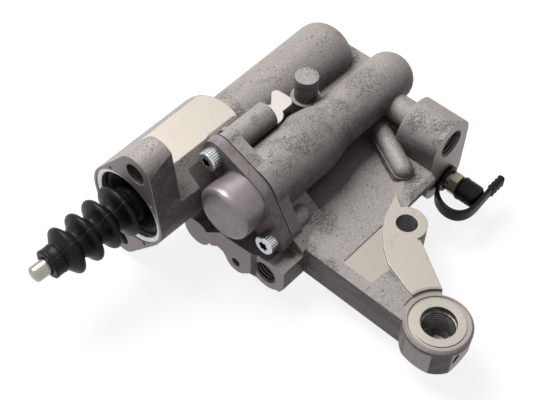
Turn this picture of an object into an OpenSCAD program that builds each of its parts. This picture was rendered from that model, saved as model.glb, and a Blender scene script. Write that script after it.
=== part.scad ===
// Clutch slave cylinder with a built-in control valve, for a heavy vehicle.
// +X is the way the pushrod leaves, +Z is up, and the origin is the centre of the front mounting face.

/* [Cylinder body] */
// Bore of the working cylinder
bore_d = 25.4; // [22:0.1:28]
// Outside diameter of the front part, round the boot recess
front_d = 42.8; // [40:0.2:48]
// Length of the front part, behind the mounting face
front_len = 64; // [54:1:72]
// Outside diameter of the rear part
rear_d = 31.6; // [31:0.2:36]
// Length of the whole cylinder
body_len = 143; // [130:0.5:170]
// Thickness left at the closed end
end_wall = 8; // [6:0.5:12]
// Diameter of the boot recess
recess_d = 35.4; // [33:0.2:36]
// Depth of the boot recess
recess_len = 22; // [18:1:26]
// Height of the milled pad over the axis
pad_z = 18.2; // [17.2:0.1:19.5]

/* [Mounting flange] */
// Thickness of the flange
flange_t = 15; // [10:0.5:20]
// Distance between the two bolt holes
bolt_pitch = 59.4; // [54:0.2:66]
// Lean of the line through both holes, from upright towards the valve
bolt_lean = 15.5; // [0:0.5:20]
// Diameter of the bolt holes
bolt_hole_d = 10.5; // [8.4:0.1:11]
// Radius of the ears round the bolt holes
ear_r = 9.4; // [8.6:0.2:12]

/* [Control valve] */
// Sideways distance of the valve's axis
valve_y = 36.8; // [35:0.1:42]
// Height of the valve's axis
valve_z = 5.2; // [4:0.1:7]
// Outside diameter of the valve housing
valve_d = 31.2; // [30:0.2:34]
// Outside diameter of the housing's thin rear part
valve_tail_d = 25.4; // [22:0.2:27]
// Distance of the housing's rear end behind the mounting face
valve_end = 148.7; // [144:0.5:156]
// Distance of the valve's joint face behind the mounting face
valve_face = 42; // [38:0.5:46]
// Bore for the valve plunger
plunger_d = 20; // [16:0.1:21]
// Diameter of the cap's dome
dome_d = 27.6; // [25:0.2:28]
// How far the dome stands out in front of the cap's flange
dome_len = 14.6; // [11:0.2:16]
// Distance between the two cap screws
cap_pitch = 45; // [43:0.5:48]
// Thickness of the cap's flange
cap_t = 5; // [4:0.5:7]
// Thickness of the gasket
gasket_t = 0.8; // [0.5:0.1:1.5]
// Travel of the plunger
plunger_travel = 3; // [1:0.5:4]

/* [Pushrod and boot] */
// Diameter of the pushrod
rod_d = 7.6; // [6:0.2:9]
// How far the pushrod's tip stands out in front of the mounting face
rod_reach = 53; // [49:0.5:60]
// Stroke of the piston
stroke = 22; // [15:1:26]
// Angle at which the loose pushrod leans in its seat
rod_lean = 1.1; // [0:0.1:2]
// Length of the piston
piston_len = 28; // [24:1:34]
// Radius of the boot's largest fold
fold_r = 13; // [11:0.1:14]
// Distance from one fold to the next
fold_pitch = 9.9; // [9:0.1:11]

/* [Arm and ports] */
// Distance of the air port behind the mounting face
air_x = 52.7; // [46:0.5:58]
// Sideways distance of the air port
air_y = 134.2; // [120:1:150]
// Depth of the air port's face under the axis
air_z = 11.4; // [10:0.2:14]
// Height of the air port's boss
air_boss_h = 19; // [16:0.2:22]
// Outside diameter of the air port's boss
air_boss_d = 30.4; // [28:0.2:34]
// Thread core diameter of the air port
air_core_d = 14.5; // [12:0.1:15]
// Distance of the lug's hole behind the mounting face
lug_x = 84.6; // [80:0.5:90]
// Sideways distance of the lug's hole
lug_y = 92.3; // [86:0.5:96]
// Depth of the lug's milled face under the axis
lug_z = 10; // [9:0.2:11]
// Diameter of the lug's hole
lug_hole_d = 9.2; // [8.4:0.1:11]
// Thickness of the lug
lug_t = 12.5; // [9:0.5:15]
// Distance of the fluid port's axis behind the mounting face
fluid_x = 127.7; // [122:0.5:132]
// Sideways distance of the fluid port's face
fluid_y = 83.3; // [78:0.5:90]
// Thread core diameter of the fluid port
fluid_core_d = 12.5; // [10:0.1:13]
// Thread core diameter of the block's port
block_core_d = 10.5; // [8:0.1:11]
// Across-flats size of the bleeder's hexagon
bleeder_af = 10; // [8:0.5:11]

/* [Hidden] */
// Clearances: a running fit on the radius, a seated fit on the radius, and a gap between loose faces
run = 0.05;
seat = 0.05;
loose = 0.3;
// Wall faces that a cut has to pass
cut = 0.5;
$fn = 64;

bore_r = bore_d / 2;
front_r = front_d / 2;
rear_r = rear_d / 2;
recess_r = recess_d / 2;
flange_r = front_r;
front_draft = 0.6;
bore_end = -(body_len - end_wall);
ear_at = bolt_pitch / 2 * [sin(bolt_lean), cos(bolt_lean)];

// Boot ring, pressed into the recess's mouth
ring_r = recess_r + 2.3;
ring_t = 3.4;
ring_in = 0.4;
lip_t = 2.2;
lip_r = recess_r + 1.2;
lip_x = -(ring_in + ring_t + lip_t);

// Stop ring and piston
stop_t = 1.6;
stop_x = -(recess_len + 3);
groove_deep = 1.1;
piston_x = stop_x - stop_t - seat;
piston_r = bore_r - run;
piston_end = piston_x - piston_len;
// The bore is honed as far as the piston runs, and left narrower behind
honed_end = piston_end - stroke - 1;
chamber_r = bore_r - 0.8;
rod_ball_r = 5.8;
rod_seat_x = piston_x - 9;
rod_r = rod_d / 2;
rod_tip_len = 1.4;

// Seals on the piston
seal_w = 3.6;
seal_deep = 3.4;
seal_x = piston_end + 9;
band_w = 5;
band_deep = 1.3;
band_x = piston_x - 7;

// Return spring behind the piston
spring_wire = 2;
spring_r = bore_r - 3.4;
spring_turns = 9;
piston_pocket_r = spring_r - spring_wire / 2 - 2.6;

// Boot
boot_wall = 1.1;
fold_count = 4;
fold_first = 4.6;
fold_shrink = 0.42;
waist_r = 7.4;
collar_r = 7.1;
collar_len = 6.5;
boot_grip = 0.1;
fold_round = 1.7;
bead_deep = 0.5;
collar_x = fold_first + (fold_count - 1) * fold_pitch + 4.2;
bead_x = [collar_x + 1.5, collar_x + collar_len];

// Valve housing
valve_at = [valve_y, valve_z];
valve_r = valve_d / 2;
tail_r = valve_tail_d / 2;
valve_rear = -valve_end;
housing_len = 38;
shoulder_len = 10;
valve_back = -valve_face;
plunger_r = plunger_d / 2;
cap_lean = -40.5;
screw_off = cap_pitch / 2 * [cos(cap_lean), sin(cap_lean)];
screw_at = [valve_at - screw_off, valve_at + screw_off];
cap_ear_r = 7.4;
cap_mid_r = 15;
dome_r = dome_d / 2;
dome_wall = 2.6;
cap_shell = 1.6;
dome_round = 3;
gasket_x = valve_back + gasket_t;
cap_back = gasket_x;
cap_front = cap_back + cap_t;
dome_x = cap_front + dome_len;
screw_d = 6;
screw_head_r = 5;
screw_head_h = 6;
screw_socket_r = 2.6;
screw_len = cap_t + gasket_t + 12;
screw_boss_r = cap_ear_r - 0.8;
// Flat on the front cylinder, facing the cap's upper corner
cap_room = norm(screw_at[0]) - cap_ear_r - 0.9;
cap_side = atan2(screw_at[0].y, screw_at[0].x);

// Valve inner parts, from the joint face to the rear
chamber_end = valve_back - 36;
stem_bore_r = 7;
poppet_bore_r = 6.5;
passage_r = 2.2;
plunger_x = valve_back - 3 - loose;
plunger_len = 14;
oring_r = 1.5;
plunger_stem_r = 4.2;
valve_seat_x = valve_back - 46;
valve_seat_len = 6;
valve_seat_hole_r = 5;
poppet_r = 6;
poppet_len = 7;
poppet_rubber = 2;
valve_ring_t = 1.1;
plunger_face_x = plunger_x - plunger_len;
poppet_x = valve_seat_x - valve_seat_len;
stem_end = poppet_x - poppet_len - plunger_travel - 4;

// Block under the cap
block_x = -28.4;
block_back = -62;
floor_low = -20.2;
floor_high = -17;
floor_y = [32.4, 61.3];
block_edge_y = 67.4;
block_base = -29.2;
block_step = 1;
port_x = block_x - block_step;
block_port = [56.4, -26.4];
block_port_boss = 9.8;
block_plug = [39.2, -33.8];
block_plug_boss = 6.5;
block_lump = [14, -33];
block_lump_r = 8;

// Arm, plate and lug
arm_front = -44.2;
arm_step_x = -50;
arm_step_z = -13.6;
plate_z = -(lug_z + 0.8);
plate_under = -(lug_z + lug_t);
arm_rib_back = -54;
air_at = [-air_x, air_y];
air_boss_r = air_boss_d / 2;
air_top = -air_z;
air_base = air_top - air_boss_h;
spot_r = air_boss_r + 1.1;
lug_at = [-lug_x, lug_y];
lug_r = 9.5;
lug_side = [-66.4, 125.9];
lug_notch = [-80.8, 103.4];
lug_bow = [[-94.8, 78.2], [-80.6, 82.9], [-73.7, 87], [-66.5, 93.2], [-61.2, 99.6], [-56.1, 114.6]];
facet_y = [84.6, 101];
facet_x = [-77, -47];
triangle_drop = 2.6;

// Fluid port, bleeder and slab
fluid_z = 1.5;
fluid_boss_r = 13.6;
fluid_boss_z = 0.3;
fluid_deep = 21.8;
fluid_base = -31;
bleeder_z = -23.6;
bleeder_at = [-(fluid_x + 1.3), bleeder_z];
neck_r = 7.5;
slab_z = -7.2;
slab = [[-109.6, 54.3], [-101.5, 70.3], [-94.1, 77.3], [-91.2, 86.9], [-113.6, 86.6], [-115.3, 74.8],
        [-115.3, 56.7]];
finger = [[-117.3, 50.2], [-105, 73.5]];
finger_r = 4.9;
finger_z = -5.6;

// Stub and milled spot on the web between the two cylinders
stub_at = [-97.2, 19.4];
stub_r = 5.6;
stub_top = 24;
spot = [[-83.4, 13.1], [-82.2, 18.6], [-75, 20.3]];
spot_rs = [2.3, 3.9, 2.2];

// Ball plugs
ball_r = 2.5;
ball_seat = 1.2;
air_drill_z = -21.5;
air_drill_x = -air_x + 3.6;
air_flat_y = air_y + air_boss_r - 1.9;
air_flat_x = -air_x + air_boss_r - 1.6;

// Bleeder and its cap
bleeder_thread_r = 4;
bleeder_deep = 12;
bleeder_neck_r = 3.6;
bleeder_neck_len = 4.2;
hex_len = 4.2;
hex_r = bleeder_af / 2 / cos(30);
nipple_r = 2.6;
nipple_len = 10.5;
hex_y = fluid_y + bleeder_neck_len;
hex_end = hex_y + hex_len;
rubber_cap_r = 5.6;
rubber_cap_len = 11;
rubber_cap_y = hex_end + 0.6;
rubber_cap_end = rubber_cap_y + rubber_cap_len;
strap_w = 7;
strap_t = 2;
cap_tail_len = 11;
strap_ring_y = fluid_y + loose;
strap_ring_t = 2;
strap_top_y = rubber_cap_end;

// Solids along an axis

// A bar along X from x0 to x1 round the point (y, z)
module bar_x(at, r, x0, x1) {
    translate([x0, at.x, at.y]) rotate([0, 90, 0]) cylinder(r = r, h = x1 - x0);
}

// A bar along Y from y0 to y1 round the point (x, z)
module bar_y(at, r, y0, y1) {
    translate([at.x, y1, at.y]) rotate([90, 0, 0]) cylinder(r = r, h = y1 - y0);
}

// A bar along Z from z0 to z1 round the point (x, y)
module bar_z(at, r, z0, z1) {
    translate([at.x, at.y, z0]) cylinder(r = r, h = z1 - z0);
}

// An outline in Y and Z, drawn out along X
module prism_x(x0, x1) {
    translate([x0, 0, 0]) rotate([90, 0, 90]) linear_extrude(x1 - x0) children();
}

// An outline in X and Z, drawn out along Y
module prism_y(y0, y1) {
    translate([0, y1, 0]) rotate([90, 0, 0]) linear_extrude(y1 - y0) children();
}

// An outline in X and Y, drawn out along Z
module prism_z(z0, z1) {
    translate([0, 0, z0]) linear_extrude(z1 - z0) children();
}

// A part turned round the X line through (y, z), from a profile of (radius, x) points
module turned_x(at, profile) {
    translate([0, at.x, at.y]) rotate([0, 90, 0]) rotate_extrude() polygon(profile);
}

// A part turned round the Y line through (x, z), from a profile of (radius, y) points
module turned_y(at, profile) {
    translate([at.x, 0, at.y]) rotate([-90, 0, 0]) rotate_extrude() polygon(profile);
}

// A part turned round the Z line through (x, y), from a profile of (radius, z) points
module turned_z(at, profile) {
    translate([at.x, at.y, 0]) rotate_extrude() polygon(profile);
}

// Points of an arc in a profile
function arc(c, r, from, to, steps = 6) =
    [for (i = [0 : steps]) let (a = from + (to - from) * i / steps) c + r * [cos(a), sin(a)]];

// The band between the outer tangents of two circles
module band(p, rp, q, rq) {
    a = atan2(q.y - p.y, q.x - p.x);
    b = acos((rp - rq) / norm(q - p));
    polygon([for (s = [1, -1]) p + rp * [cos(a + s * b), sin(a + s * b)],
             for (s = [-1, 1]) q + rq * [cos(a + s * b), sin(a + s * b)]]);
}

// A band with the circle at its far end
module arm_band(p, rp, q, rq) {
    band(p, rp, q, rq);
    translate(q) circle(rq);
}

// A helix of round wire along X, from x0 to x1, with closed end turns
module coil_x(at, r, wire, x0, x1, turns) {
    sides = 8;
    per_turn = 18;
    rings = floor(turns * per_turn);
    closed = wire * 1.03;
    span = x1 - x0 - wire - 2 * closed;
    // The first and last turn lie against their neighbours, and the rest share the length between them
    function rise(t) = wire / 2 + closed * (min(t, 1) + max(t - turns + 1, 0))
                       + span * min(max((t - 1) / (turns - 2), 0), 1);
    path = [for (i = [0 : rings]) let (t = turns * i / rings)
            [x0 + rise(t), at.x + r * cos(360 * t), at.y + r * sin(360 * t)]];
    points = [for (i = [0 : rings]) let (t = turns * i / rings)
              for (k = [0 : sides - 1]) let (w = 360 * k / sides)
              path[i] + wire / 2 * [sin(w), cos(w) * cos(360 * t), cos(w) * sin(360 * t)]];
    skin = [for (i = [0 : rings - 1]) for (k = [0 : sides - 1]) let (n = (k + 1) % sides)
            [i * sides + k, (i + 1) * sides + k, (i + 1) * sides + n, i * sides + n]];
    start = [[for (k = [0 : sides - 1]) k]];
    stop = [[for (k = [0 : sides - 1]) rings * sides + sides - 1 - k]];
    polyhedron(points, concat(skin, start, stop), convexity = 10);
}

// Body casting: the outside

module flange_outline() {
    circle(flange_r);
    for (s = [1, -1]) arm_band([0, 0], flange_r, s * ear_at, ear_r);
}

module cap_outline(grow = 0) {
    translate(valve_at) circle(cap_mid_r + grow);
    for (at = screw_at) arm_band(valve_at, cap_mid_r + grow, at, cap_ear_r + grow);
}

// The flange, whose flank towards the valve has draft
module flange() {
    flank = 90 - bolt_lean - acos((flange_r - ear_r) / (bolt_pitch / 2));
    draft = 6;
    difference() {
        prism_x(-flange_t, 0) flange_outline();
        rotate([flank, 0, 0]) translate([0, flange_r, 0]) rotate([0, 0, draft])
            translate([-2 * flange_t, 0, -8]) cube([4 * flange_t, front_r, bolt_pitch]);
    }
}

// The front part grows a little towards its rounded rear end, and the rear part has a domed end
module cylinder_outside() {
    end_round = 10;
    nose_round = 8;
    nose_r = front_r + front_draft;
    flange();
    difference() {
        turned_x([0, 0], concat([[0, -1], [front_r, -1]],
                                arc([nose_r - nose_round, -front_len + nose_round], nose_round, 0, -90),
                                [[0, -front_len]]));
        translate([valve_back, 0, 0]) rotate([cap_side, 0, 0]) translate([0, cap_room, -front_r])
            cube([valve_face - flange_t + 2, front_r, 2 * front_r]);
    }
    turned_x([0, 0], concat([[0, -front_len + 10], [rear_r - 0.6, -front_len + 10]],
                            arc([rear_r + 0.8 - end_round, -body_len + end_round], end_round, 0, -90, 8),
                            [[0, -body_len]]));
}

// A boss along X from x0 back to x1, with a domed rear end
module domed_x(at, r, x0, x1) {
    turned_x(at, concat([[0, x0], [r, x0]], arc([0, x1 + r], r, 0, -90, 8)));
}

module valve_outside() {
    tail_round = 10;
    housing_end = valve_back - housing_len;
    shoulder_end = housing_end - shoulder_len;
    turned_x(valve_at, concat([[0, valve_back], [valve_r, valve_back], [valve_r, housing_end],
                               [tail_r + 1, shoulder_end], [tail_r, shoulder_end - 1]],
                              arc([tail_r - tail_round, valve_rear + tail_round], tail_round, 0, -90, 8),
                              [[0, valve_rear]]));
    prism_x(valve_back - 6, valve_back) cap_outline();
    // The screw bosses run back as ribs, the upper one further than the lower
    domed_x(screw_at[0], screw_boss_r, valve_back - 1, valve_back - 36);
    domed_x(screw_at[1], screw_boss_r, valve_back - 1, valve_back - 18);
}

// The casting between the two cylinders, with its stub and the cast pad that is milled flat
module web_outside() {
    web_top = 0.4;
    web_under = -9;
    web_rear = valve_rear + 1.2;
    translate([web_rear, 4, web_under])
        cube([valve_back - 0.4 - web_rear, valve_y - 8, web_top - web_under]);
    bar_z(stub_at, stub_r, 0, stub_top);
    bar_z(stub_at, stub_r + 1.6, 0, 11);
    prism_z(0, pad_z + 0.8) {
        for (i = [0 : 2]) let (n = (i + 1) % 3) arm_band(spot[i], spot_rs[i], spot[n], spot_rs[n]);
    }
}

module block_outline() {
    valley = [27.4, block_base - 3.2];
    saddle = [48.2, block_base - 5];
    polygon([[21.4, -27], [29.8, floor_low + 0.6], [floor_y[0], floor_low], [floor_y[1], floor_high],
             [block_edge_y, floor_high + 0.3], [block_edge_y, block_base],
             [block_edge_y - 2.1, block_base - 3.8],
             block_port + [0, -block_port_boss], [saddle.x + 4, saddle.y - 1.2], saddle,
             [saddle.x - 3.4, saddle.y - 3.2], [33.6, valley.y - 4], [valley.x + 3.5, valley.y - 0.7], valley,
             [valley.x - 4, valley.y - 3], block_lump]);
    translate(block_port) circle(block_port_boss);
    translate(block_plug) circle(block_plug_boss);
    translate(block_lump) circle(block_lump_r);
}

module block_outside() {
    difference() {
        prism_x(block_back, block_x) block_outline();
        // The face round the port is set back, with a slope towards the ball plug
        prism_z(-60, 0) polygon([[block_x + cut, 47.4], [block_x, 48.4], [port_x, 51.2],
                                 [port_x, block_edge_y + 1],
                                 [block_x + cut, block_edge_y + 1]]);
    }
    // A web ties the lump to the cylinder
    prism_x(block_back, block_x - 9) polygon([[2, -12], [27, -12], [floor_y[0], floor_low],
                                              [23, block_base - 1],
                                              [block_lump.x - 6, block_lump.y]]);
    // Behind the joint face the block rises to carry the valve housing
    prism_x(block_back, valve_back) polygon([[10, -2], [valve_y + 14, -2], [block_edge_y, plate_z - 2],
                                             [block_edge_y, block_base], [10, block_base + 4]]);
}

// Plan outline of the arm and the plate, seen from above
module arm_plan() {
    polygon([[arm_front, 20], [arm_front, air_y], lug_side, lug_notch, lug_at + [2, lug_r],
             lug_at - lug_r * [cos(30), sin(30)], lug_bow[0], [-fluid_x + 8, 78], [-fluid_x - 8, 66],
             [-fluid_x - 8, 30]]);
    translate(lug_at) circle(lug_r);
}

// Plan outline of the milled lug face, bounded by a bow towards the valve
module lug_plan() {
    polygon(concat(lug_bow, [air_at, lug_side, lug_notch, lug_at + [4, lug_r], lug_at]));
    translate(lug_at) circle(lug_r);
}

module arm_section() {
    polygon([[arm_front, air_base], [arm_front, arm_step_z], [arm_step_x, plate_z], [-fluid_x - 10, plate_z],
             [-fluid_x - 10, plate_under], [arm_rib_back - 3, plate_under], [arm_rib_back, plate_under - 3],
             [arm_rib_back, air_base]]);
}

module arm_outside() {
    intersection() {
        prism_y(20, air_y) arm_section();
        prism_z(-60, 0) arm_plan();
    }
    prism_z(plate_under, -lug_z) lug_plan();
    turned_z(air_at, [[0, air_base], [air_boss_r - 2, air_base], [air_boss_r, air_base + 2],
                      [air_boss_r, air_top - 1.2], [air_boss_r - 1.2, air_top], [0, air_top]]);
}

module fluid_outside() {
    side = fluid_boss_r;
    foot = 7;
    mid = [-fluid_x, fluid_boss_z];
    prism_y(fluid_y - fluid_deep, fluid_y) {
        translate(mid) circle(fluid_boss_r);
        translate([mid.x - side, fluid_base + foot]) square([2 * side, mid.y - fluid_base - foot]);
        translate([mid.x - side + foot, fluid_base]) square([2 * (side - foot), foot + 1]);
        for (s = [-1, 1]) translate([mid.x + s * (side - foot), fluid_base + foot]) circle(foot);
    }
    bar_y(mid + [-1.5, 0], neck_r, valve_y + 4, fluid_y - fluid_deep + 1);
    difference() {
        prism_z(plate_z - 1, slab_z) polygon(slab);
        for (i = [1, 2]) slope(slab[i], slab[i + 1], slab_z - 3.4, 38);
        slope(slab[3], slab[4], slab_z - 1.5, 30);
    }
    finger_rib();
}

// What a slope takes off the edge from p to q, from height z upwards
module slope(p, q, z, tilt) {
    translate([p.x, p.y, z]) rotate([0, 0, atan2(q.y - p.y, q.x - p.x)]) rotate([tilt, 0, 0])
        translate([-4, -10, 0]) cube([norm(q - p) + 8, 20, 10]);
}

// A half-round finger over the slab, from the valve housing to the lug, with a domed end
module finger_rib() {
    run_up = finger[1] - finger[0];
    reach = norm(run_up);
    foot_r = finger_r + 0.3;
    foot_z = plate_z - 0.5;
    foot_top = finger_z - 0.4;
    translate([finger[0].x, finger[0].y, 0]) rotate([0, 0, atan2(run_up.y, run_up.x)]) {
        translate([0, 0, finger_z]) rotate([0, 90, 0]) rotate_extrude()
            polygon(concat([[0, 0], [finger_r, 0]], arc([0, reach], finger_r, 0, 80, 8),
                           [[0, reach + finger_r * sin(80)]]));
        translate([0, -foot_r, foot_z]) cube([reach, 2 * foot_r, foot_top - foot_z]);
        translate([reach, 0, foot_z]) cylinder(r = foot_r, h = foot_top - foot_z);
    }
}

// Body casting: what is machined out of it

module cylinder_cuts() {
    // Pad and flat spot, milled at one height
    translate([-front_len - 8, -front_r - 1, pad_z]) cube([front_len + 8 - flange_t, front_r + 10, 10]);
    translate([spot[0].x - 6, spot[0].y - 5, pad_z]) cube([20, 20, 10]);
    turned_x([0, 0], [[0, cut], [ring_r + 0.5, cut], [ring_r, 0], [ring_r, -ring_in - ring_t],
                      [lip_r, -ring_in - ring_t],
                      [lip_r, lip_x], [recess_r, lip_x], [recess_r, -recess_len], [bore_r + 0.6, -recess_len],
                      [bore_r, -recess_len - 0.6], [bore_r, stop_x], [bore_r + groove_deep, stop_x],
                      [bore_r + groove_deep, piston_x], [bore_r, piston_x], [bore_r, honed_end],
                      [chamber_r, honed_end - 0.8], [chamber_r, bore_end + 2], [chamber_r - 2, bore_end],
                      [0, bore_end]]);
    for (s = [1, -1]) {
        bar_x(s * ear_at, bolt_hole_d / 2, -flange_t - 2 * cut, cut);
        // Spot face for the bolt's head, clear of the cylinder
        bar_x(s * ear_at, ear_r - 0.6, -flange_t - 30, -flange_t);
    }
    // Three stake marks beside the ring hold it in place
    stake_r = ring_r + 1.3;
    for (a = [112.5, 41.5, -65]) translate([0.5, stake_r * cos(a), stake_r * sin(a)]) sphere(1.2);
}

module valve_cuts() {
    spigot_r = plunger_r + 1;
    turned_x(valve_at, [[0, valve_back + cut], [spigot_r, valve_back + cut], [spigot_r, valve_back - 4],
                        [plunger_r, valve_back - 5], [plunger_r, chamber_end],
                        [stem_bore_r, chamber_end], [stem_bore_r, poppet_x], [poppet_bore_r, poppet_x],
                        [poppet_bore_r, stem_end], [passage_r, stem_end - 4],
                        [passage_r, -fluid_x - 1], [0, -fluid_x - 1]]);
    ring_x = valve_seat_x + valve_ring_t;
    ring_groove_r = stem_bore_r + 0.8;
    turned_x(valve_at, [[0, valve_seat_x], [ring_groove_r, valve_seat_x], [ring_groove_r, ring_x],
                        [0, ring_x]]);
    for (at = screw_at) bar_x(at, screw_d / 2, valve_back - screw_len + cap_t, valve_back + cut);
    // The joint face is milled, and the cap's corner is free of the cast block
    prism_x(valve_back, block_x + 3) difference() {
        cap_outline(0.8);
        translate([-50, floor_low - 20]) square([200, 20]);
    }
}

module port_cuts() {
    mouth = 0.8;
    air_r = air_core_d / 2;
    turned_z(air_at, [[0, air_top + cut], [air_r + mouth, air_top + cut], [air_r + mouth, air_top - 3],
                      [air_r, air_top - 4], [air_r, air_base + 4], [passage_r, air_base + 3],
                      [0, air_base + 3]]);
    // The ring face stands in a spot face cut into the lug
    bar_z(air_at, spot_r, air_top, air_top + 6);
    // A shallow groove separates the ring face from the chamfered rim
    difference() {
        bar_z(air_at, 13.6, air_top - 0.5, air_top + cut);
        bar_z(air_at, 12, air_top - 1, air_top + 1);
    }
    fluid_r = fluid_core_d / 2;
    fluid_at = [-fluid_x, fluid_z];
    turned_y(fluid_at, [[0, fluid_y + cut], [fluid_r + 1.3, fluid_y + cut], [fluid_r + 1.2, fluid_y],
                        [fluid_r, fluid_y - 1.4], [fluid_r, fluid_y - 15], [passage_r, fluid_y - 18],
                        [passage_r, valve_y], [0, valve_y]]);
    block_r = block_core_d / 2;
    turned_x(block_port, [[0, port_x + cut], [block_r + 1, port_x + cut], [block_r + 0.9, port_x],
                          [block_r, port_x - 1.1], [block_r, port_x - 13], [passage_r - 0.3, port_x - 16],
                          [passage_r - 0.3, air_drill_x - 1], [0, air_drill_x - 1]]);
    bar_z(lug_at, lug_hole_d / 2, plate_under - cut, cut);
    turned_z(lug_at, [[0, -lug_z + cut], [lug_hole_d / 2 + 1, -lug_z + cut], [lug_hole_d / 2 + 0.5, -lug_z],
                      [lug_hole_d / 2, -lug_z - 0.5], [0, -lug_z - 0.5]]);
    bleeder_cut();
}

module bleeder_cut() {
    r = bleeder_thread_r + seat;
    turned_y(bleeder_at, [[0, fluid_y + cut], [r + 0.5, fluid_y + cut], [r + 0.5, fluid_y],
                          [r, fluid_y - 0.5],
                          [r, fluid_y - bleeder_deep], [1.2, fluid_y - bleeder_deep - 3],
                          [1.2, fluid_y - bleeder_deep - 6], [0, fluid_y - bleeder_deep - 6]]);
}

// Air and fluid drillings, each closed at the outside by a pressed ball
module drillings() {
    bar_y([air_drill_x, air_drill_z], passage_r, block_port.x, air_y + air_boss_r + 1);
    bar_y([air_drill_x, air_drill_z], ball_r, air_flat_y - ball_seat - 2 * ball_r, air_y + air_boss_r + 1);
    bar_x(block_plug, passage_r - 0.4, block_back + 8, block_x + cut);
    bar_x(block_plug, ball_r, block_x - ball_seat - 2 * ball_r, block_x + cut);
    bar_y([air_drill_x, block_port.y], passage_r, block_port.x - 2.6, block_port.x + 8);
    bar_z([air_drill_x, block_port.x + 4], passage_r, block_port.y, air_drill_z);
}

// Milled surfaces of the arm: flats on the boss, the facet and the rough triangle beyond it
module arm_cuts() {
    translate([air_flat_x, air_y - 11, air_base - 1]) cube([6, 22, air_boss_h - 2.2]);
    translate([-air_x - 9, air_flat_y, air_base - 1]) cube([18, 6, air_boss_h - 2.2]);
    prism_z(plate_z - 0.4, plate_z + cut)
        polygon([[facet_x[1] - 3, facet_y[0]], [facet_x[1] + 4, facet_y[0]], [facet_x[1] + 4, facet_y[1] - 1],
                 [lug_bow[4].x + 0.6, facet_y[1] + 1], lug_bow[4], lug_bow[3], lug_bow[2],
                 [facet_x[0], facet_y[0]]]);
    prism_z(plate_z - triangle_drop, plate_z + cut)
        polygon([[facet_x[1] + 6, facet_y[1]], [lug_bow[4].x - 2, facet_y[1]], lug_bow[4], lug_bow[5],
                 [lug_bow[5].x + 1, air_y - spot_r + 1], [facet_x[1] + 6, air_y - spot_r + 4]]);
}

module body_casting() {
    color([0.66, 0.645, 0.62]) difference() {
        union() {
            cylinder_outside();
            valve_outside();
            web_outside();
            block_outside();
            arm_outside();
            fluid_outside();
        }
        cylinder_cuts();
        valve_cuts();
        port_cuts();
        drillings();
        arm_cuts();
    }
}

// Front end: boot ring, boot, pushrod

module boot_ring() {
    color([0.82, 0.81, 0.8]) turned_x([0, 0],
        [[recess_r + 0.1, -ring_in - 0.8], [recess_r + 0.9, -ring_in], [ring_r - seat, -ring_in],
         [ring_r - seat, -ring_in - ring_t], [recess_r + 0.1, -ring_in - ring_t]]);
}

// A child that leans with the pushrod, about the ball at its inner end
module with_rod() {
    translate([rod_seat_x, 0, 0]) rotate([0, 0, -rod_lean]) translate([-rod_seat_x, 0, 0]) children();
}

// Outer and inner line of the boot: folds that shrink towards the rod, joined by round waists
function fold_radius(i) = fold_r - fold_shrink * i;
function fold_x(i) = fold_first + i * fold_pitch;
function boot_outer() = [for (i = [0 : fold_count - 1]) let (x = fold_x(i), r = fold_radius(i))
    each concat([[waist_r, x - fold_pitch * 0.36]], arc([r - fold_round, x - 0.2], fold_round, -75, 75, 6),
                [[waist_r - 0.3, x + fold_pitch * 0.36]])];
function boot_inner() = [for (i = [fold_count - 1 : -1 : 0]) let (x = fold_x(i),
                                                                  r = fold_radius(i) - boot_wall)
    each [[waist_r - boot_wall, x + fold_pitch * 0.3], [r - 0.8, x + 0.3], [r - 0.8, x - 0.7],
          [waist_r - boot_wall, x - fold_pitch * 0.34]]];

module boot() {
    bore = rod_r + boot_grip;
    throat = waist_r - boot_wall;
    start = fold_x(0) - fold_pitch * 0.36;
    color([0.06, 0.06, 0.065]) {
        // Lip under the ring, and the funnel that leads to the folds
        turned_x([0, 0], [[lip_r - seat, lip_x], [lip_r - seat, lip_x + lip_t],
                          [recess_r - 2.6, lip_x + lip_t],
                          [waist_r + 3.4, lip_x - 3.4], [waist_r + 2.4, start - 0.4],
                          [waist_r - 0.6, start + 0.4],
                          [throat, start - 0.8], [throat + 1.8, lip_x - 5.6],
                          [recess_r - 2.4, lip_x - 1.6], [recess_r - 2, lip_x]]);
        with_rod() difference() {
            turned_x([0, 0], concat([[bore, start - 1], [waist_r, start - 1]], boot_outer(),
                                    [[collar_r, collar_x - 1], [collar_r, collar_x + collar_len - 1],
                                     [collar_r - 0.9, collar_x + collar_len], [bore, collar_x + collar_len],
                                     [bore, bead_x[1] - loose], [bore - bead_deep, bead_x[1] - loose],
                                     [bore - bead_deep, bead_x[0] + loose], [bore, bead_x[0] + loose]]));
            turned_x([0, 0], concat([[0, collar_x - 2], [throat - 1, collar_x - 2]], boot_inner(),
                                    [[throat, start - 2], [0, start - 2]]));
        }
    }
}

module pushrod() {
    length = rod_reach - rod_seat_x;
    neck = rod_r - 1;
    color([0.72, 0.71, 0.68]) with_rod() translate([rod_seat_x, 0, 0]) rotate([0, 90, 0]) rotate_extrude()
        polygon(concat([[0, -rod_ball_r]],
                       arc([0, 0], rod_ball_r, -80, 48, 10),
                       [[neck, 6.4], [rod_r, 9.5], [rod_r, bead_x[0] - rod_seat_x],
                        [rod_r - bead_deep, bead_x[0] - rod_seat_x],
                        [rod_r - bead_deep, bead_x[1] - rod_seat_x],
                        [rod_r, bead_x[1] - rod_seat_x]],
                       [for (a = [0 : 15 : 75]) [rod_r * cos(a), length - rod_tip_len * (1 - sin(a))]],
                       [[0, length]]));
}

// Wire clip in the piston's mouth that keeps the ball in its seat
module rod_clip() {
    wire = 0.8;
    clip_r = piston_mouth_r - 0.3;
    color([0.6, 0.6, 0.6]) translate([rod_clip_x, 0, 0]) rotate([0, 90, 0]) rotate_extrude()
        translate([clip_r, 0]) circle(wire, $fn = 16);
}

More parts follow.
